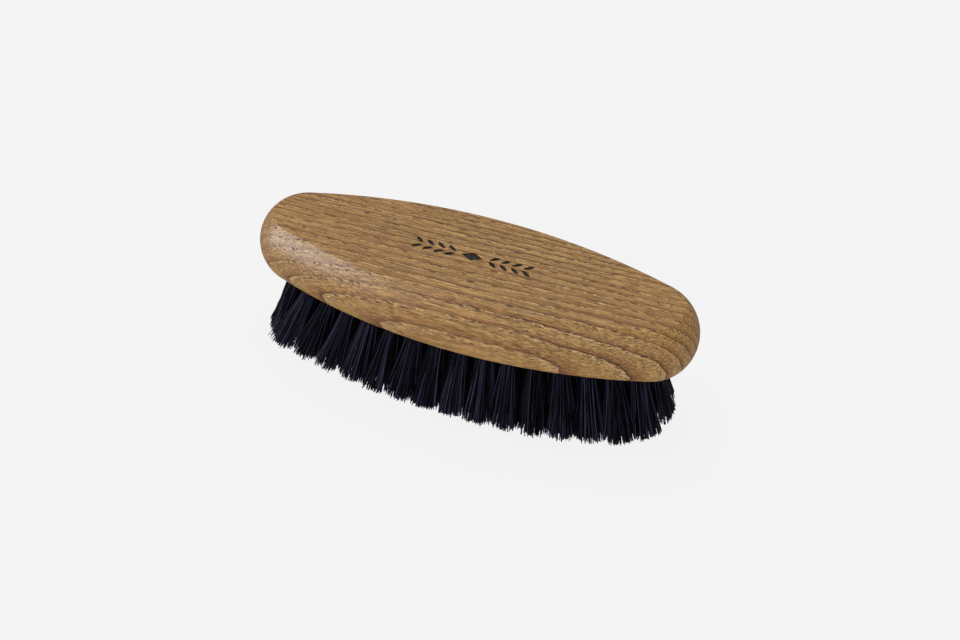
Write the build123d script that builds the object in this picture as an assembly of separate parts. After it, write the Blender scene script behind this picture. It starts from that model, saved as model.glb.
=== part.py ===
from build123d import *

import os
from math import atan2, ceil, cos, degrees, radians, sin, sqrt

# A beard brush: an oval hardwood block with two oval rings and a middle row of bristle tufts.
# Each tuft is folded over a flat metal anchor and driven into a slanted blind hole in the underside.
# Millimetres. +X runs along the brush and +Z points up, out of the top of the block.
# The origin is under the middle of the block, in the plane of the trimmed bristle tips.

# The block: four arcs in plan, and one arc up the whole of its side
length = 120.0
width = 42.0
end_radius = 13.1
block_height = 15.6
side_radius = 12.0
widest_height = 6.4  # of the fullest point of the side, above the underside
top_edge_radius = 0.4
bottom_edge_radius = 0.5

# The bristles
bristle_length = 20.0  # below the block
tuft_pitch = 6.3  # between the roots of neighbours in a ring
root_radius = 1.95
tip_radius = 3.2
tip_half_length = 59.0  # of the oval that the trimmed tips fill
tip_half_width = 22.8
tip_drift = -0.8  # of every tip along X: the bristles are combed a little toward one end
straight_below = 0.5  # how far a tuft comes out of its hole before it starts to spread

# The rings of roots: inside the edge of the underside, then each inside the one before it
root_end_margin = 9.2
root_side_margin = 5.2
ring_gap = 6.3
ring_end_share = 0.62  # the radius of a ring's ends, as a share of its half width

# The holes and the anchors
hole_depth = 9.0
drill_point_depth = 1.1
fold_radius = 1.2  # of the rounded top of the folded tuft
fold_thickness = 0.9  # of bristle between the anchor and the top of the tuft
anchor_span = 5.0  # wider than the hole, so that both ends bite into the wood
anchor_thickness = 0.4
anchor_height = 1.8

# The ornament sunk in the top: a lozenge between two sprigs of leaves
ornament_depth = 0.25
lozenge_half_length = 3.0
lozenge_half_width = 1.6
leaf_count = 4  # pairs on each side
first_leaf = 4.6  # from the middle to the foot of the first pair
leaf_pitch = 3.0
leaf_length = 3.0
leaf_bulge = 0.55  # of each edge of a leaf, off its straight middle line
leaf_slope = 35.0  # degrees off the brush's length
leaf_foot = 0.3  # of a leaf's foot, from the middle line

block_bottom = bristle_length
block_top = block_bottom + block_height


def arc_inset(height):
    """How far the side has drawn in from its fullest outline, this far above or below it."""
    return side_radius - sqrt(side_radius**2 - height**2)


top_inset = arc_inset(block_height - widest_height)
bottom_inset = arc_inset(widest_height)
root_half_length = length / 2 - bottom_inset - root_end_margin
root_half_width = width / 2 - bottom_inset - root_side_margin


def side_arc(a, b, r):
    """Radius of the long sides of a four-arc oval, and the angle its end arcs turn on each side of X."""
    big = ((a - r) ** 2 + b**2 - r**2) / (2 * (b - r))
    return big, 90 - degrees(atan2(a - r, big - b))


def oval_point(a, b, r, share):
    """The point this share of the way round a four-arc oval, from its +X end."""
    big, turn = side_arc(a, b, r)
    end, side = radians(turn) * r, radians(180 - 2 * turn) * big
    arcs = [
        ((a - r, 0), r, 0, end),
        ((0, b - big), big, turn, side),
        ((r - a, 0), r, 180 - turn, 2 * end),
        ((0, big - b), big, 180 + turn, side),
        ((a - r, 0), r, 360 - turn, end),
    ]
    left = share * sum(arc[3] for arc in arcs)
    for (x, y), radius, start, run in arcs:
        if left <= run:
            angle = radians(start) + left / radius
            return x + radius * cos(angle), y + radius * sin(angle)
        left -= run
    return a, 0.0


def oval_perimeter(a, b, r):
    big, turn = side_arc(a, b, r)
    return 4 * radians(turn) * r + 2 * radians(180 - 2 * turn) * big


def side_section(core, radius):
    """Half section of the block, from core out to the rounded side, as a face on XZ."""
    top_corner = (radius - top_inset, block_top)
    bottom_corner = (radius - bottom_inset, block_bottom)
    outline = [
        Line((core, block_bottom), bottom_corner),
        ThreePointArc(bottom_corner, (radius, block_bottom + widest_height), top_corner),
        Line(top_corner, (core, block_top)),
        Line((core, block_top), (core, block_bottom)),
    ]
    face = make_face(outline)
    face = fillet(face.vertices().sort_by_distance(top_corner)[:1], top_edge_radius)
    face = fillet(face.vertices().sort_by_distance(bottom_corner)[:1], bottom_edge_radius)
    return Plane.XZ * face


def block_blank():
    """The block before it's drilled: its side section turned about the centre of each plan arc."""
    a, b, r = length / 2, width / 2, end_radius
    big, turn = side_arc(a, b, r)
    end = revolve(side_section(0, r), Axis.Z, 2 * turn)
    side = revolve(side_section(big - b, big), Axis.Z, 180 - 2 * turn)
    return (
        Pos(a - r, 0) * Rot(Z=-turn) * end
        + Pos(r - a, 0) * Rot(Z=180 - turn) * end
        + Pos(0, b - big) * Rot(Z=turn) * side
        + Pos(0, big - b) * Rot(Z=180 + turn) * side
    )


def root_rings():
    """The (x, y) of every root at the underside, by ring, from the outside in."""
    rings = {}
    for name, ring, first in (("outer", 0, 0.0), ("middle", 1, 0.5)):
        a = root_half_length - ring * ring_gap
        b = root_half_width - ring * ring_gap
        r = b * ring_end_share
        count = 2 * round(oval_perimeter(a, b, r) / tuft_pitch / 2)
        rings[name] = [oval_point(a, b, r, (i + first) / count) for i in range(count)]
    reach = root_half_length - 2 * ring_gap
    gaps = ceil(2 * reach / tuft_pitch)
    rings["centre"] = [(reach * (2 * i / gaps - 1), 0.0) for i in range(gaps + 1)]
    return rings


def tuft_plane(x, y):
    """A plane at a root's mouth, with its Z pointing up the slanted hole."""
    tip_x = x * (tip_half_length - tip_radius) / root_half_length + tip_drift
    tip_y = y * (tip_half_width - tip_radius) / root_half_width
    return Plane((x, y, block_bottom), x_dir=(1, 0, 0), z_dir=(x - tip_x, y - tip_y, bristle_length))


def hole_cutter():
    """A drilled hole with its pointed end, starting well below the underside."""
    outline = [
        (0, -hole_depth),
        (root_radius, -hole_depth),
        (root_radius, hole_depth),
        (0, hole_depth + drill_point_depth),
    ]
    return revolve(Plane.XZ * make_face(Polyline(*outline, close=True)), Axis.Z)


def anchor():
    middle = hole_depth - fold_thickness - anchor_height / 2
    return Pos(0, 0, middle) * Box(anchor_span, anchor_thickness, anchor_height)


def straight_tuft():
    """A tuft on an upright axis with its mouth at the origin, untrimmed, with the slot for its anchor."""
    spread = (tip_radius - root_radius) / (bristle_length - straight_below)
    below = bristle_length + 2 * tip_radius  # long enough for the slant, before trimming
    foot_radius = root_radius + spread * (below - straight_below)
    fold_corner = (root_radius - fold_radius, hole_depth)
    fold_foot = (root_radius, hole_depth - fold_radius)
    outline = [
        Line((0, -below), (foot_radius, -below)),
        Line((foot_radius, -below), (root_radius, -straight_below)),
        Line((root_radius, -straight_below), fold_foot),
        RadiusArc(fold_foot, fold_corner, -fold_radius),
        Line(fold_corner, (0, hole_depth)),
        Line((0, hole_depth), (0, -below)),
    ]
    return revolve(Plane.XZ * make_face(outline), Axis.Z) - anchor()


def trimmed_tuft(plane):
    """A tuft placed in its hole and cut off level at the tips."""
    reach = 2 * bristle_length
    waste = Pos(plane.origin.X, plane.origin.Y, -reach / 2) * Box(reach, reach, reach)
    return plane.location * straight_tuft() - waste


def leaf():
    """One leaf as a face of two arcs, from its foot at the origin along +X."""
    foot, tip = (0, 0), (leaf_length, 0)
    middle = leaf_length / 2
    return make_face(
        [
            ThreePointArc(foot, (middle, leaf_bulge), tip),
            ThreePointArc(tip, (middle, -leaf_bulge), foot),
        ]
    )


def ornament():
    """The cutters for the sunk ornament, standing through the top of the block."""
    corners = [
        (lozenge_half_length, 0),
        (0, lozenge_half_width),
        (-lozenge_half_length, 0),
        (0, -lozenge_half_width),
    ]
    faces = [make_face(Polyline(*corners, close=True))]
    for i in range(leaf_count):
        foot = first_leaf + i * leaf_pitch
        for side in (1, -1):
            sprig = Pos(foot, side * leaf_foot) * Rot(Z=side * leaf_slope) * leaf()
            faces += [sprig, mirror(sprig, Plane.YZ)]
    floor = Pos(0, 0, block_top - ornament_depth)
    return [floor * extrude(face, 2 * ornament_depth) for face in faces]


def main():
    os.makedirs("parts", exist_ok=True)
    rings = root_rings()
    planes = {name: [tuft_plane(x, y) for x, y in roots] for name, roots in rings.items()}
    everywhere = [plane for ring in planes.values() for plane in ring]

    holes = [plane.location * hole_cutter() for plane in everywhere]
    anchors = {name: [plane.location * anchor() for plane in ring] for name, ring in planes.items()}
    bites = [strip for ring in anchors.values() for strip in ring]
    block = block_blank() - holes - bites - ornament()
    export_step(block, "parts/wood_block.step")

    for i, plane in enumerate(planes["outer"]):
        export_step(trimmed_tuft(plane), f"parts/tuft_outer_{i + 1:02d}.step")
    for name in ("middle", "centre"):
        group = Compound(children=[trimmed_tuft(plane) for plane in planes[name]])
        export_step(group, f"parts/tufts_{name}.step")
    for name, strips in anchors.items():
        export_step(Compound(children=strips), f"parts/anchors_{name}.step")
    print({name: len(ring) for name, ring in rings.items()}, block.bounding_box())


if __name__ == "__main__":
    main()
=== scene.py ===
import math

import bpy
import numpy as np
from mathutils import Matrix, Vector


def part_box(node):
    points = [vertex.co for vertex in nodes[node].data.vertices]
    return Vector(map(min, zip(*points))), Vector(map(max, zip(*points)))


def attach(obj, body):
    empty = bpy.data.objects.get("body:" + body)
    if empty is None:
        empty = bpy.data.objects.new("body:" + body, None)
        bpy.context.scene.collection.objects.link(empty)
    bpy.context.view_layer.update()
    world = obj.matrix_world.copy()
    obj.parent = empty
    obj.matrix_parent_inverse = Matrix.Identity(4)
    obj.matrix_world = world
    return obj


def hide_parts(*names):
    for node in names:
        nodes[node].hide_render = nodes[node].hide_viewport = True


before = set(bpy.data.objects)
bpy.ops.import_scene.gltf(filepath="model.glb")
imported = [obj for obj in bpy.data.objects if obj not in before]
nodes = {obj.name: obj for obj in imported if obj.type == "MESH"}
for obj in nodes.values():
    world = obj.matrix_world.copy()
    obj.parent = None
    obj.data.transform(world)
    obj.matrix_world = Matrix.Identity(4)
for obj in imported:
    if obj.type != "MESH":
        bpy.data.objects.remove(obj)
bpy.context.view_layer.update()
mm = 0.001
anyTurn = (0, 6.28)  # radians, for a random turn


def deselectAll():
    bpy.ops.object.select_all(action="DESELECT")


def newMaterial(name):
    # a material with a Principled shader
    material = bpy.data.materials.new(name)
    material.use_nodes = True
    tree = material.node_tree
    return material, tree, tree.nodes["Principled BSDF"]


def setInput(tree, node, name, value):
    # a socket is linked, and anything else is set as a plain value
    if isinstance(value, bpy.types.NodeSocket):
        tree.links.new(value, node.inputs[name])
    else:
        node.inputs[name].default_value = value


def addNode(tree, kind, inputs=None, **settings):
    node = tree.nodes.new(kind)
    for name, value in settings.items():
        setattr(node, name, value)
    for name, value in (inputs or {}).items():
        setInput(tree, node, name, value)
    return node


def mathNode(tree, operation, a, b=0.0):
    return addNode(tree, "ShaderNodeMath", {0: a, 1: b}, operation=operation).outputs[0]


def plus(tree, a, b):
    return mathNode(tree, "ADD", a, b)


def minus(tree, a, b):
    return mathNode(tree, "SUBTRACT", a, b)


def times(tree, a, b):
    return mathNode(tree, "MULTIPLY", a, b)


def between(tree, value, low, high, start=0.0, end=1.0):
    # from start to end as value goes from low to high, clamped, eased at both ends
    node = addNode(tree, "ShaderNodeMapRange", interpolation_type="SMOOTHSTEP")
    limits = {"From Min": low, "From Max": high, "To Min": start, "To Max": end}
    for name, number in limits.items():
        node.inputs[name].default_value = number
    setInput(tree, node, "Value", value)
    return node.outputs["Result"]


def grey(tree, value):
    return addNode(tree, "ShaderNodeCombineColor", {0: value, 1: value, 2: value}).outputs[0]


def blendColour(tree, amount, a, b, mode="MIX"):
    node = addNode(tree, "ShaderNodeMix", data_type="RGBA", blend_type=mode)
    for socket, value in ((0, amount), (6, a), (7, b)):  # factor, then the two colours
        setInput(tree, node, socket, value)
    return node.outputs[2]


def colourRamp(tree, amount, first, last, stops):
    node = addNode(tree, "ShaderNodeValToRGB", {"Fac": amount})
    elements = node.color_ramp.elements
    elements[0].position, elements[0].color = 0.0, first
    elements[1].position, elements[1].color = 1.0, last
    for position, colour in stops:
        elements.new(position).color = colour
    return node.outputs["Color"]


def millimetres(tree, stretch=(1, 1, 1), offset=(0, 0, 0)):
    # Object coordinates in millimetres, each axis multiplied by its stretch
    place = addNode(tree, "ShaderNodeTexCoord").outputs["Object"]
    inputs = {"Vector": place, "Location": offset, "Scale": [1000 * s for s in stretch]}
    return addNode(tree, "ShaderNodeMapping", inputs).outputs[0]


def noise(tree, stretch, detail=2.0, roughness=0.5):
    inputs = {"Vector": millimetres(tree, stretch), "Scale": 1.0}
    inputs.update({"Detail": detail, "Roughness": roughness})
    return addNode(tree, "ShaderNodeTexNoise", inputs).outputs["Fac"]


def cells(tree, stretch):
    # scattered cells, with the distance from a cell's middle and the cell's own colour
    inputs = {"Vector": millimetres(tree, stretch), "Scale": 1.0}
    return addNode(tree, "ShaderNodeTexVoronoi", inputs).outputs


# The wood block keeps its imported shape. A stretch is a pattern's steps per mm along X, Y and Z,
# and a span is the part of a pattern's values over which it takes effect.
woodBlock = {
    "pale": (0.610, 0.380, 0.158, 1),  # early wood, just outside a ring line
    "middle": (0.447, 0.254, 0.084, 1),
    "dark": (0.285, 0.125, 0.038, 1),  # late wood, just inside the next line
    "line": (0.085, 0.037, 0.012, 1),
    "patch": (0.485, 0.250, 0.085, 1),  # where the wood is warmer
    "pore": (0.110, 0.050, 0.020, 1),
    # the colour of the painted glints, specks of light painted into the wood
    "paintedGlint": (0.86, 0.68, 0.43, 1),
    "burn": (0.007, 0.004, 0.0035, 1),
    "ringTilt": 23.0,  # degrees that the rings' outward direction dips below level
    "ringTurn": 2.5,  # degrees that the same direction is turned toward the +X end
    "firstRing": 16.25,  # mm from the middle of the underside to the outermost ring line
    "ringWidth": 3.5,  # mm, narrowing toward the far side
    "ringNarrowing": 0.05,
    "ringSways": (  # stretch, detail, and mm either way
        ((0.014, 0.075, 0.075), 2.0, 1.3),
        ((0.10, 0.5, 0.5), 3.0, 0.2),
    ),
    "bands": ((0.24, "middle"), (0.55, "middle"), (0.88, "dark")),  # across a ring, outward
    "earlyWood": (0.08, 0.40),  # across a ring, where it starts to end and where it has ended
    "lineEdge": (0.93, 0.985),  # across a ring, where its line starts and where it is full
    "lineStrength": 0.8,
    "patches": {"stretch": (0.012, 0.06, 0.06), "span": (0.35, 0.7), "strength": 0.55},
    "streaks": {
        "stretch": (0.045, 2.6, 2.6),
        "detail": 5.0,
        "roughness": 0.66,
        "span": (0.34, 0.66),
        "shade": (0.66, 1.33),  # of the darkest and palest, against the ring's colour
    },
    "fibres": {
        "stretch": (0.26, 3.2, 3.2),
        "detail": 3.0,
        "roughness": 0.7,
        "span": (0.37, 0.63),
        "shade": (0.64, 1.34),
    },
    "shadeWarmth": (0.86, 1.12),  # powers of red and blue that turn the dark streaks redder
    "grainLines": (  # stretch, width, strength
        ((0.022, 0.62, 0.62), 0.016, 0.18),
        ((0.030, 1.7, 1.7), 0.022, 0.26),
    ),
    "grainBreaks": {"stretch": (0.09, 0.5, 0.5), "span": (0.38, 0.58)},
    # sizes, chances and strengths are in late wood, and how much more in early wood
    "longPores": {"stretch": (0.30, 2.1, 2.1), "size": (0.15, 0.20), "span": (-0.01, 0.07)},
    "shortPores": {"stretch": (0.80, 2.5, 2.5), "strength": (0.25, 0.55), "span": (0.30, 0.16)},
    # painted glints: specks of light painted into the wood's colour
    "paintedGlints": {
        "stretch": (0.42, 2.2, 2.2),
        "chance": (0.28, 0.30),
        "strength": (0.38, 0.60),
        "span": (0.24, 0.13),
    },
    "poreStrength": 0.80,
    "burnReach": (20, 5),  # mm each way from the middle of the top
    "burnDepth": (0.06, 0.6),  # mm below the top
    "char": {"stretch": (1.2, 3, 3), "span": (0.2, 0.6), "shade": (0.86, 1.0)},
    "roughness": 0.43,
    "fibreRoughness": 0.16,  # from the smoothest fibre to the roughest
    "poreRoughness": 0.25,  # more in a pore
    "poreDulling": 0.8,
    "specular": 0.27,
    "coat": 0.15,
    "coatRoughness": 0.36,
    "relief": {"pore": -1.0, "streak": 0.55, "fibre": 0.35},
    "reliefDepth": 0.16 * mm,
}


def ringPhase(tree, underside):
    # 0 just outside a ring line, rising to 1 just inside the next one out
    tilt, turn = (math.radians(woodBlock[name]) for name in ("ringTilt", "ringTurn"))
    level = math.cos(tilt)
    outward = Vector((math.sin(turn) * level, -math.cos(turn) * level, -math.sin(tilt)))
    place = millimetres(tree, offset=(0, 0, -1000 * underside))
    dot = addNode(tree, "ShaderNodeVectorMath", {0: place, 1: outward}, operation="DOT_PRODUCT")
    along = dot.outputs["Value"]
    for stretch, detail, most in woodBlock["ringSways"]:
        sway = times(tree, minus(tree, noise(tree, stretch, detail), 0.5), 2 * most)
        along = plus(tree, along, sway)
    inward = minus(tree, woodBlock["firstRing"], along)
    inward = mathNode(tree, "DIVIDE", inward, woodBlock["ringWidth"])
    narrowed = times(tree, times(tree, inward, inward), woodBlock["ringNarrowing"])
    count = plus(tree, inward, narrowed)
    return minus(tree, 1.0, mathNode(tree, "FRACT", count))


def ringColour(tree, phase):
    # bands across each ring, and its dark line
    bands = [(position, woodBlock[name]) for position, name in woodBlock["bands"]]
    colour = colourRamp(tree, phase, woodBlock["pale"], woodBlock["line"], bands)
    edge = between(tree, phase, *woodBlock["lineEdge"], 0.0, woodBlock["lineStrength"])
    colour = blendColour(tree, edge, colour, woodBlock["line"])
    # slow changes of tone from place to place
    patches = woodBlock["patches"]
    warm = noise(tree, patches["stretch"])
    warm = between(tree, warm, *patches["span"], 0, patches["strength"])
    return blendColour(tree, warm, colour, woodBlock["patch"])


def shadeFibres(tree, colour, streak, fibre):
    # long streaks along the grain, and short fine ones
    streaks, fibres = woodBlock["streaks"], woodBlock["fibres"]
    streakShade = between(tree, streak, *streaks["span"], *streaks["shade"])
    fibreShade = between(tree, fibre, *fibres["span"], *fibres["shade"])
    shade = times(tree, streakShade, fibreShade)
    red, blue = (mathNode(tree, "POWER", shade, power) for power in woodBlock["shadeWarmth"])
    shadeColour = addNode(tree, "ShaderNodeCombineColor", {0: red, 1: shade, 2: blue}).outputs[0]
    return blendColour(tree, 1.0, colour, shadeColour, "MULTIPLY")


def drawGrainLines(tree, colour):
    # thin dark lines: where a noise stretched along the grain crosses its own middle
    breaks = woodBlock["grainBreaks"]
    for stretch, width, strength in woodBlock["grainLines"]:
        field = noise(tree, stretch, detail=1.5)
        crossing = mathNode(tree, "ABSOLUTE", minus(tree, field, 0.5))
        grainLine = between(tree, crossing, width, 0.2 * width, 0.0, strength)
        broken = between(tree, noise(tree, breaks["stretch"]), *breaks["span"])
        colour = blendColour(tree, times(tree, grainLine, broken), colour, woodBlock["line"])
    return colour


def moreInEarlyWood(tree, early, least, more):
    return plus(tree, times(tree, early, more), least)


def openPores(tree, early):
    # long and short hollows along the grain, crowded into the early wood
    longPores, shortPores = woodBlock["longPores"], woodBlock["shortPores"]
    size = moreInEarlyWood(tree, early, *longPores["size"])
    distance = cells(tree, longPores["stretch"])["Distance"]
    longPore = between(tree, minus(tree, size, distance), *longPores["span"])
    distance = cells(tree, shortPores["stretch"])["Distance"]
    shortPore = between(tree, distance, *shortPores["span"])
    shortPore = times(tree, shortPore, moreInEarlyWood(tree, early, *shortPores["strength"]))
    return mathNode(tree, "MAXIMUM", longPore, shortPore)


def scatterPaintedGlints(tree, colour, early):
    # painted glints: pale specks painted into the wood's colour beside the pores, standing in for
    # light caught in the grooves
    paintedGlints = woodBlock["paintedGlints"]
    chance, moreChance = paintedGlints["chance"]
    speck = cells(tree, paintedGlints["stretch"])
    draw = addNode(tree, "ShaderNodeSeparateColor", {0: speck["Color"]}).outputs[0]
    draw = plus(tree, draw, times(tree, early, moreChance))
    chosen = mathNode(tree, "GREATER_THAN", draw, 1 - chance)
    paintedGlint = times(tree, between(tree, speck["Distance"], *paintedGlints["span"]), chosen)
    paintedGlint = times(tree, paintedGlint, moreInEarlyWood(tree, early, *paintedGlints["strength"]))
    return blendColour(tree, paintedGlint, colour, woodBlock["paintedGlint"])


def burnedFloor(tree, top):
    # 1 on the sunk floor of the ornament and 0 elsewhere, a little uneven
    place = addNode(tree, "ShaderNodeSeparateXYZ", {0: millimetres(tree)}).outputs
    shallow, deep = woodBlock["burnDepth"]
    sunk = mathNode(tree, "LESS_THAN", place["Z"], 1000 * top - shallow)
    burned = times(tree, sunk, mathNode(tree, "GREATER_THAN", place["Z"], 1000 * top - deep))
    for axis, reach in zip("XY", woodBlock["burnReach"]):
        near = mathNode(tree, "LESS_THAN", mathNode(tree, "ABSOLUTE", place[axis]), reach)
        burned = times(tree, burned, near)
    char = woodBlock["char"]
    shade = between(tree, noise(tree, char["stretch"], 3.0), *char["span"], *char["shade"])
    return times(tree, burned, shade)


def makeOiledWood():
    low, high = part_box("wood_block")
    material, tree, shader = newMaterial("oiledAsh")
    phase = ringPhase(tree, low.z)
    early = minus(tree, 1.0, between(tree, phase, *woodBlock["earlyWood"]))
    streak, fibre = (
        noise(tree, *(woodBlock[name][part] for part in ("stretch", "detail", "roughness")))
        for name in ("streaks", "fibres")
    )
    pore = openPores(tree, early)
    burned = burnedFloor(tree, high.z)

    colour = shadeFibres(tree, ringColour(tree, phase), streak, fibre)
    colour = drawGrainLines(tree, colour)
    darkened = times(tree, pore, woodBlock["poreStrength"])
    colour = blendColour(tree, darkened, colour, woodBlock["pore"])
    # painted glints of light beside the pores
    colour = scatterPaintedGlints(tree, colour, early)
    colour = blendColour(tree, burned, colour, woodBlock["burn"])
    setInput(tree, shader, "Base Color", colour)

    # the oil polishes the wood, but not its pores or the burned floor
    swing = woodBlock["fibreRoughness"]
    rough = plus(tree, times(tree, fibre, swing), woodBlock["roughness"] - swing / 2)
    rough = plus(tree, rough, times(tree, pore, woodBlock["poreRoughness"]))
    setInput(tree, shader, "Roughness", rough)
    dull = mathNode(tree, "MAXIMUM", burned, times(tree, pore, woodBlock["poreDulling"]))
    setInput(tree, shader, "Coat Weight", times(tree, minus(tree, 1.0, dull), woodBlock["coat"]))
    shader.inputs["Coat Roughness"].default_value = woodBlock["coatRoughness"]
    shader.inputs["Specular IOR Level"].default_value = woodBlock["specular"]

    relief = woodBlock["relief"]
    height = times(tree, pore, relief["pore"])
    height = plus(tree, height, times(tree, streak, relief["streak"]))
    height = plus(tree, height, times(tree, fibre, relief["fibre"]))
    inputs = {"Strength": 1.0, "Distance": woodBlock["reliefDepth"], "Height": height}
    setInput(tree, shader, "Normal", addNode(tree, "ShaderNodeBump", inputs).outputs[0])
    return material


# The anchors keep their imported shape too.
anchorWire = {
    "stretch": (0.5, 8, 8),  # of the drawing marks, steps per mm
    "shade": (0.45, 0.62),
    "roughness": (0.28, 0.45),
}


def makeDrawnWire():
    material, tree, shader = newMaterial("drawnWire")
    drawn = noise(tree, anchorWire["stretch"], detail=3.0)
    shade = between(tree, drawn, 0.3, 0.7, *anchorWire["shade"])
    setInput(tree, shader, "Base Color", grey(tree, shade))
    setInput(tree, shader, "Roughness", between(tree, drawn, 0.2, 0.8, *anchorWire["roughness"]))
    shader.inputs["Metallic"].default_value = 1.0
    return material


# Each solid tuft is replaced by its separate bristles.
bristleTufts = {
    "count": {"outer": 420, "middle": 340, "centre": 340},  # of bristles in each tuft
    "rootRadius": 0.105 * mm,
    "tipRadius": 0.130 * mm,
    "thickness": {"outer": 1, "middle": 1.35, "centre": 1.35},  # against those radii
    "cuts": {  # shares of its length where a bristle can bend
        "outer": (0.16, 0.32, 0.52, 0.76),
        "middle": (0.2, 0.55),
        "centre": (0.2, 0.55),
    },
    "inHole": 3.0 * mm,  # hidden inside the wood
    "holeRadius": 1.95 * mm,
    "rootFill": 0.93,  # of the hole's radius that the roots fill
    "rootJitter": 0.04 * mm,
    "spread": 1.33,  # of the tips, against the solid tuft's own
    "reach": (57.5 * mm, 22.9 * mm),  # half length and half width of the oval that trims the spread
    "reachDrift": -0.2 * mm,  # of that oval's middle along X
    "squareness": 2.5,  # 2 is an ellipse, and more is squarer
    "looseTrim": 0.24 * mm,
    "flick": {  # tufts near the -X end that are splayed out of line
        "tuft_outer_19": (-0.8 * mm, -0.8 * mm),
        "tuft_outer_20": (-2.8 * mm, -1.3 * mm),
        "tuft_outer_21": (-1.7 * mm, -0.4 * mm),
        "tuft_outer_22": (-0.8 * mm, 0),
    },
    "leastFlick": 0.1,  # share of it that the least splayed bristle takes
    "lateFan": 1.25,  # above 1, tufts stay narrow near the wood and fan out lower down
    "stray": 0.24 * mm,
    "bow": 0.16 * mm,
    "clumps": 11,  # in each tuft
    "clumpPull": 0.28,
    "ragged": 0.5 * mm,  # how much shorter the shortest tips are
    "raggedPower": 2.2,  # above 1, fewer tips are short
    "clumpRagged": 0.3 * mm,
    "tonePower": 3,  # above 1, fewer bristles are pale
    "seed": 7,
    # darker near the wood: painted shade where the tufts crowd under the block
    "rootColourWithPaintedShade": (0.0022, 0.0021, 0.0036, 1),
    "middleColour": (0.0040, 0.0040, 0.0078, 1),
    "tipColour": (0.0040, 0.0038, 0.0090, 1),
    "middleStops": (0.3, 0.86),  # shares of the length that have the middle colour
    "toneAndGlintRange": (0.2, 15.5),  # of the darkest and the palest bristle, against those colours; the bristles' own tone, raised on the palest ones to paint glints of light along them
    "roughness": 0.30,
    "scales": (6, 6, 2.0),  # steps per mm
    "scaleRoughness": 0.2,  # from the smoothest part of a bristle to the roughest
    "scaleRelief": 0.02 * mm,
    "specular": 0.15,
    "sheenTint": (0.80, 0.82, 1.0, 1),
}


def makeDarkBristle():
    look = bristleTufts
    material, tree, shader = newMaterial("darkBristle")
    along = addNode(tree, "ShaderNodeAttribute", attribute_name="along").outputs["Fac"]
    tone = addNode(tree, "ShaderNodeAttribute", attribute_name="tone").outputs["Fac"]
    stops = [(position, look["middleColour"]) for position in look["middleStops"]]
    # the colour runs from a painted shade near the wood to the paler flagged tips
    colour = colourRamp(tree, along, look["rootColourWithPaintedShade"], look["tipColour"], stops)
    # each bristle's own tone, with painted highlights on the palest ones
    toneAndGlint = grey(tree, between(tree, tone, 0.0, 1.0, *look["toneAndGlintRange"]))
    setInput(tree, shader, "Base Color", blendColour(tree, 1.0, colour, toneAndGlint, "MULTIPLY"))
    scales = noise(tree, look["scales"])
    swing = look["scaleRoughness"]
    rough = plus(tree, times(tree, scales, swing), look["roughness"] - swing / 2)
    setInput(tree, shader, "Roughness", rough)
    inputs = {"Strength": 0.25, "Distance": look["scaleRelief"], "Height": scales}
    setInput(tree, shader, "Normal", addNode(tree, "ShaderNodeBump", inputs).outputs[0])
    shader.inputs["Specular IOR Level"].default_value = look["specular"]
    shader.inputs["Specular Tint"].default_value = look["sheenTint"]
    return material


def modelBristle(ring):
    # one bristle, one unit long along +Z: a three-sided taper cut across where it can bend
    thickness = bristleTufts["thickness"][ring]
    root, tip = (bristleTufts[name] * thickness for name in ("rootRadius", "tipRadius"))
    deselectAll()
    bpy.ops.mesh.primitive_cone_add(
        vertices=3, radius1=root, radius2=tip, depth=1, location=(0, 0, 0.5)
    )
    bristle = bpy.context.active_object
    bpy.ops.object.transform_apply(location=True, rotation=True, scale=True)
    bpy.ops.object.mode_set(mode="EDIT")
    for share in bristleTufts["cuts"][ring]:
        bpy.ops.mesh.select_all(action="SELECT")
        bpy.ops.mesh.bisect(plane_co=(0, 0, share), plane_no=(0, 0, 1))
    bpy.ops.mesh.select_all(action="SELECT")
    bpy.ops.mesh.quads_convert_to_tris()
    bpy.ops.object.mode_set(mode="OBJECT")
    points = np.array([v.co for v in bristle.data.vertices])
    faces = np.array([tuple(p.vertices) for p in bristle.data.polygons])
    bpy.data.objects.remove(bristle)
    return points, faces


def readTufts(name):
    # where each solid tuft of a node stands: its mouth, its middle at the tips, its slant from
    # one to the other, and its radius at the tips
    copy = nodes[name].copy()
    copy.data = nodes[name].data.copy()
    copy.parent = None
    bpy.context.scene.collection.objects.link(copy)
    deselectAll()
    copy.select_set(True)
    bpy.context.view_layer.objects.active = copy
    bpy.ops.object.mode_set(mode="EDIT")
    bpy.ops.mesh.select_all(action="SELECT")
    bpy.ops.mesh.remove_doubles(threshold=0.001 * mm)
    bpy.ops.mesh.separate(type="LOOSE")
    bpy.ops.object.mode_set(mode="OBJECT")
    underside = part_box("wood_block")[0].z
    tipBand, foldBand = 0.1 * mm, 1.5 * mm  # how much of each end is measured
    found = []
    for part in list(bpy.context.selected_objects):
        points = np.array([v.co for v in part.data.vertices])
        trimmed = points[points[:, 2] < tipBand]
        folded = points[points[:, 2] > points[:, 2].max() - foldBand]
        tip = (trimmed.min(0) + trimmed.max(0)) / 2
        fold = (folded.min(0) + folded.max(0)) / 2
        slant = (tip - fold) / (fold[2] - tip[2])
        mouth = fold + slant * (fold[2] - underside)
        tipRadius = (trimmed[:, 1].max() - trimmed[:, 1].min()) / 2
        found.append((mouth, tip, slant, tipRadius))
        bpy.data.objects.remove(part)
    return found


def keepInside(ends):
    # tips that would stand outside the trimmed oval are drawn in to its edge
    power = bristleTufts["squareness"]
    middle = np.array((bristleTufts["reachDrift"], 0))
    outside = (np.abs((ends - middle) / np.array(bristleTufts["reach"])) ** power).sum(1)
    return middle + (ends - middle) * np.minimum(1, outside ** (-1 / power))[:, None]


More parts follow.
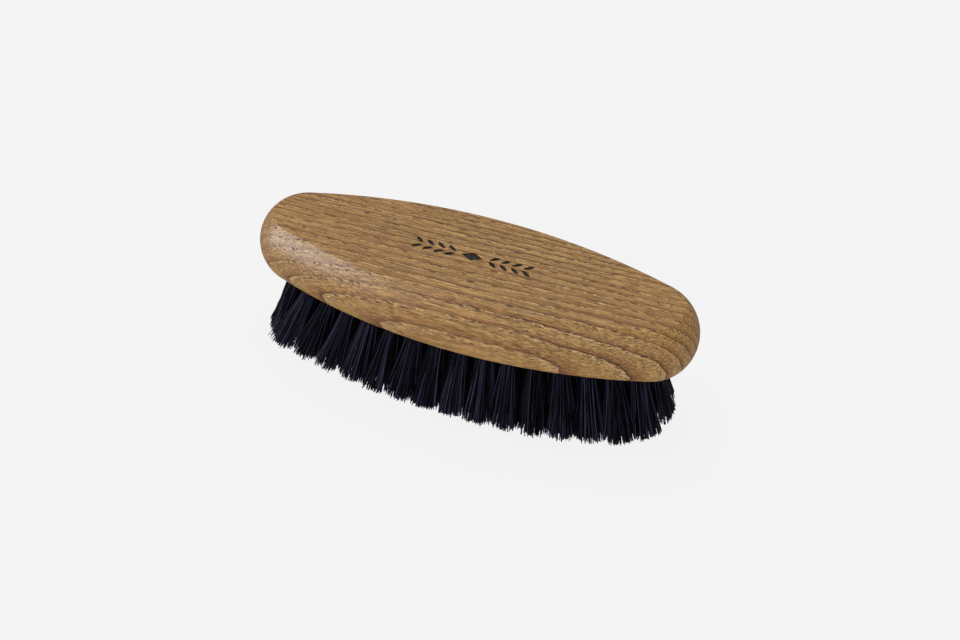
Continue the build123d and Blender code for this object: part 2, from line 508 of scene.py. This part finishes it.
def placeEnds(tuft, count, flick, random):
    # each bristle's root and tip, across from the tuft's slanted middle, and what its tip is short
    shape = bristleTufts
    tip, tipRadius = tuft[1], tuft[3]
    order = np.arange(count)
    goldenAngle = math.pi * (3 - math.sqrt(5))
    turn = order * goldenAngle + random.uniform(*anyTurn)
    reach = np.sqrt((order + 0.5) / count)
    disc = np.stack([np.cos(turn) * reach, np.sin(turn) * reach], 1)
    root = disc * (shape["holeRadius"] * shape["rootFill"])
    root += random.normal(0, shape["rootJitter"], (count, 2))
    spread = disc * tipRadius * shape["spread"]
    spread += random.normal(0, shape["stray"], (count, 2))

    # clumps draw their bristles' tips together and share a length
    pick = random.choice(count, shape["clumps"], replace=False)
    gaps = np.linalg.norm(spread[:, None] - spread[pick][None], axis=2)
    clump = gaps.argmin(1)
    pull = shape["clumpPull"] * random.uniform(0, 1, (count, 1))
    ends = spread * (1 - pull) + spread[pick][clump] * pull
    ends = keepInside(ends + tip[:2]) - tip[:2] + random.normal(0, shape["looseTrim"], (count, 2))
    ends += np.array(flick) * random.uniform(shape["leastFlick"], 1, (count, 1))
    short = shape["ragged"] * random.uniform(0, 1, count) ** shape["raggedPower"]
    short += (shape["clumpRagged"] * random.uniform(0, 1, shape["clumps"]))[clump]
    return root, ends, short


def layTuft(tuft, bristle, count, flick, random):
    # every bristle of one tuft: copies of the modelled one, bent from the hole down to ragged tips
    points, faces = bristle
    mouth, slant = tuft[0], tuft[2]
    root, ends, short = placeEnds(tuft, count, flick, random)

    # straight in the hole, then fanning out to its own tip
    share = points[:, 2]
    inHole = bristleTufts["inHole"]
    hidden = inHole / (mouth[2] + inHole)
    below = np.clip((share - hidden) / (1 - hidden), 0, 1)[None]
    kept = (1 - short / mouth[2])[:, None]  # of its full length
    depth = (share[None] * (mouth[2] + inHole) - inHole) * kept
    fan = below ** bristleTufts["lateFan"] * kept
    bow = random.normal(0, bristleTufts["bow"], (count, 2))
    curve = np.sin(math.pi * below)
    across = root[:, None] + (ends - root)[:, None] * fan[..., None]
    across = across + bow[:, None] * curve[..., None]
    middle = mouth[None, None, :2] + slant[None, None, :2] * depth[..., None]
    roll = random.uniform(*anyTurn, count)[:, None]
    x, y = points[:, 0][None], points[:, 1][None]
    placed = np.zeros((count, len(points), 3))
    placed[..., 0] = middle[..., 0] + across[..., 0] + x * np.cos(roll) - y * np.sin(roll)
    placed[..., 1] = middle[..., 1] + across[..., 1] + x * np.sin(roll) + y * np.cos(roll)
    placed[..., 2] = mouth[2] - depth
    tone = random.uniform(0, 1, count) ** bristleTufts["tonePower"]
    tone = np.repeat(tone, len(points))

    # the copies run downward, so their faces are turned over to point outward again
    starts = (np.arange(count) * len(points))[:, None, None]
    allFaces = faces[None, :, ::-1] + starts
    return placed.reshape(-1, 3), allFaces.reshape(-1, 3), tone, np.tile(share, count)


def buildTufts(name, bristle, count, material, random):
    # one piece for each node of tufts
    points, faces, tones, shares = [], [], [], []
    start = 0
    flick = bristleTufts["flick"].get(name, (0, 0))
    for tuft in readTufts(name):
        tuftPoints, tuftFaces, tone, share = layTuft(tuft, bristle, count, flick, random)
        points.append(tuftPoints)
        faces.append(tuftFaces + start)
        tones.append(tone)
        shares.append(share)
        start += len(tuftPoints)
    mesh = bpy.data.meshes.new(name + "_bristles")
    mesh.from_pydata(np.concatenate(points), [], np.concatenate(faces).tolist())
    for attribute, values in (("tone", tones), ("along", shares)):
        layer = mesh.attributes.new(attribute, "FLOAT", "POINT")
        layer.data.foreach_set("value", np.concatenate(values))
    mesh.shade_smooth()
    mesh.materials.append(material)
    piece = bpy.data.objects.new(name + "_bristles", mesh)
    bpy.context.scene.collection.objects.link(piece)
    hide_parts(name)
    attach(piece, "root")


setting = {
    "target": (0, 0, 0.020),
    "azimuth": 19.8,  # degrees round from looking along +Y
    "elevation": 42.3,
    "roll": -1.9,
    "distance": 0.300,
    "lens": 42.69,
    "shiftX": 0.0097,
    "shiftY": -0.0189,
    "floorSize": 6,
    "floorDrop": 0.2 * mm,  # below the bristle tips
    "floorColour": (0.08, 0.08, 0.08, 1),
    "floorGlow": 0.847,  # keeps the floor evenly pale
    "floorRoughness": 0.9,
    "backdropRadius": 3,
    "backdropGlow": 0.90,
    "skyStrength": 0.24,
    "softboxes": {  # place, width and height, watts
        "leftSoftbox": ((-0.60, -0.44, 0.25), (0.28, 0.42), 0.88),
        "sheenSoftbox": ((-0.70, -0.37, 0.31), (0.42, 0.60), 10.5),
        "frontSoftbox": ((0.22, -0.77, 0.34), (0.5, 0.4), 1.38),
        "topSoftbox": ((-0.15, 0.20, 0.80), (0.7, 0.7), 3.6),
    },
    "sheenColour": (0.80, 0.90, 1.0),
}


def makeGlowing(name, colour, glow):
    # matt, with an even white glow of its own
    material, tree, shader = newMaterial(name)
    shader.inputs["Base Color"].default_value = colour
    shader.inputs["Specular IOR Level"].default_value = 0.0
    shader.inputs["Emission Color"].default_value = (1, 1, 1, 1)
    shader.inputs["Emission Strength"].default_value = glow
    return material, shader


def addFloor():
    deselectAll()
    place = (0, 0, -setting["floorDrop"])
    bpy.ops.mesh.primitive_plane_add(size=setting["floorSize"], location=place)
    floor = bpy.context.active_object
    floor.name = "floor"
    material, shader = makeGlowing("paleFloor", setting["floorColour"], setting["floorGlow"])
    shader.inputs["Roughness"].default_value = setting["floorRoughness"]
    floor.data.materials.append(material)
    floor.visible_glossy = False  # its glow would put a grey veil over the bristles


def addBackdrop():
    # a plain pale dome to see past the floor's edge, which lights nothing and shades nothing
    deselectAll()
    radius = setting["backdropRadius"]
    bpy.ops.mesh.primitive_uv_sphere_add(segments=64, ring_count=32, radius=radius)
    dome = bpy.context.active_object
    dome.name = "backdrop"
    material, shader = makeGlowing("paleBackdrop", (0, 0, 0, 1), setting["backdropGlow"])
    dome.data.materials.append(material)
    for ray in ("diffuse", "glossy", "transmission", "volume_scatter", "shadow"):
        setattr(dome, "visible_" + ray, False)


def addSky():
    world = bpy.data.worlds.new("studio")
    bpy.context.scene.world = world
    world.use_nodes = True
    background = world.node_tree.nodes["Background"]
    background.inputs["Color"].default_value = (1, 1, 1, 1)
    background.inputs["Strength"].default_value = setting["skyStrength"]


def addSoftbox(name, place, size, power):
    light = bpy.data.lights.new(name, "AREA")
    light.shape = "RECTANGLE"
    light.size, light.size_y = size
    light.energy = power
    softbox = bpy.data.objects.new(name, light)
    bpy.context.scene.collection.objects.link(softbox)
    aim = (Vector(setting["target"]) - Vector(place)).to_track_quat("-Z", "Y")
    softbox.matrix_world = Matrix.Translation(place) @ aim.to_matrix().to_4x4()
    if name == "sheenSoftbox":  # only seen as a cool sheen on what is polished
        light.color = setting["sheenColour"]
        softbox.visible_diffuse = False


def addCamera():
    azimuth, elevation, roll = (
        math.radians(setting[name]) for name in ("azimuth", "elevation", "roll")
    )
    level = math.cos(elevation)
    back = Vector((math.sin(azimuth) * level, -math.cos(azimuth) * level, math.sin(elevation)))
    right = Vector((math.cos(azimuth), math.sin(azimuth), 0))
    up = back.cross(right)
    cameraX = math.cos(roll) * right - math.sin(roll) * up
    cameraY = math.sin(roll) * right + math.cos(roll) * up
    camera = bpy.data.objects.new("camera", bpy.data.cameras.new("camera"))
    bpy.context.scene.collection.objects.link(camera)
    turn = Matrix((cameraX, cameraY, back)).transposed().to_4x4()
    place = Vector(setting["target"]) + back * setting["distance"]
    camera.matrix_world = Matrix.Translation(place) @ turn
    camera.data.lens = setting["lens"]
    camera.data.sensor_width = 36
    camera.data.shift_x = setting["shiftX"]
    camera.data.shift_y = setting["shiftY"]
    camera.data.clip_start = 0.01
    bpy.context.scene.camera = camera


print("stage: wood")
nodes["wood_block"].data.materials.clear()
nodes["wood_block"].data.materials.append(makeOiledWood())

print("stage: anchors")
drawnWire = makeDrawnWire()
for name in nodes:
    if name.startswith("anchors_"):
        nodes[name].data.materials.clear()
        nodes[name].data.materials.append(drawnWire)

print("stage: bristles")
darkBristle = makeDarkBristle()
modelled = {ring: modelBristle(ring) for ring in bristleTufts["count"]}
random = np.random.default_rng(bristleTufts["seed"])
for name in sorted(nodes):
    if name.startswith("tuft"):
        ring = name.split("_")[1]
        buildTufts(name, modelled[ring], bristleTufts["count"][ring], darkBristle, random)

print("stage: setting")
addFloor()
addBackdrop()
addSky()
for name, values in setting["softboxes"].items():
    addSoftbox(name, *values)
addCamera()
bpy.context.scene.view_settings.view_transform = "Standard"

print("stage: done")
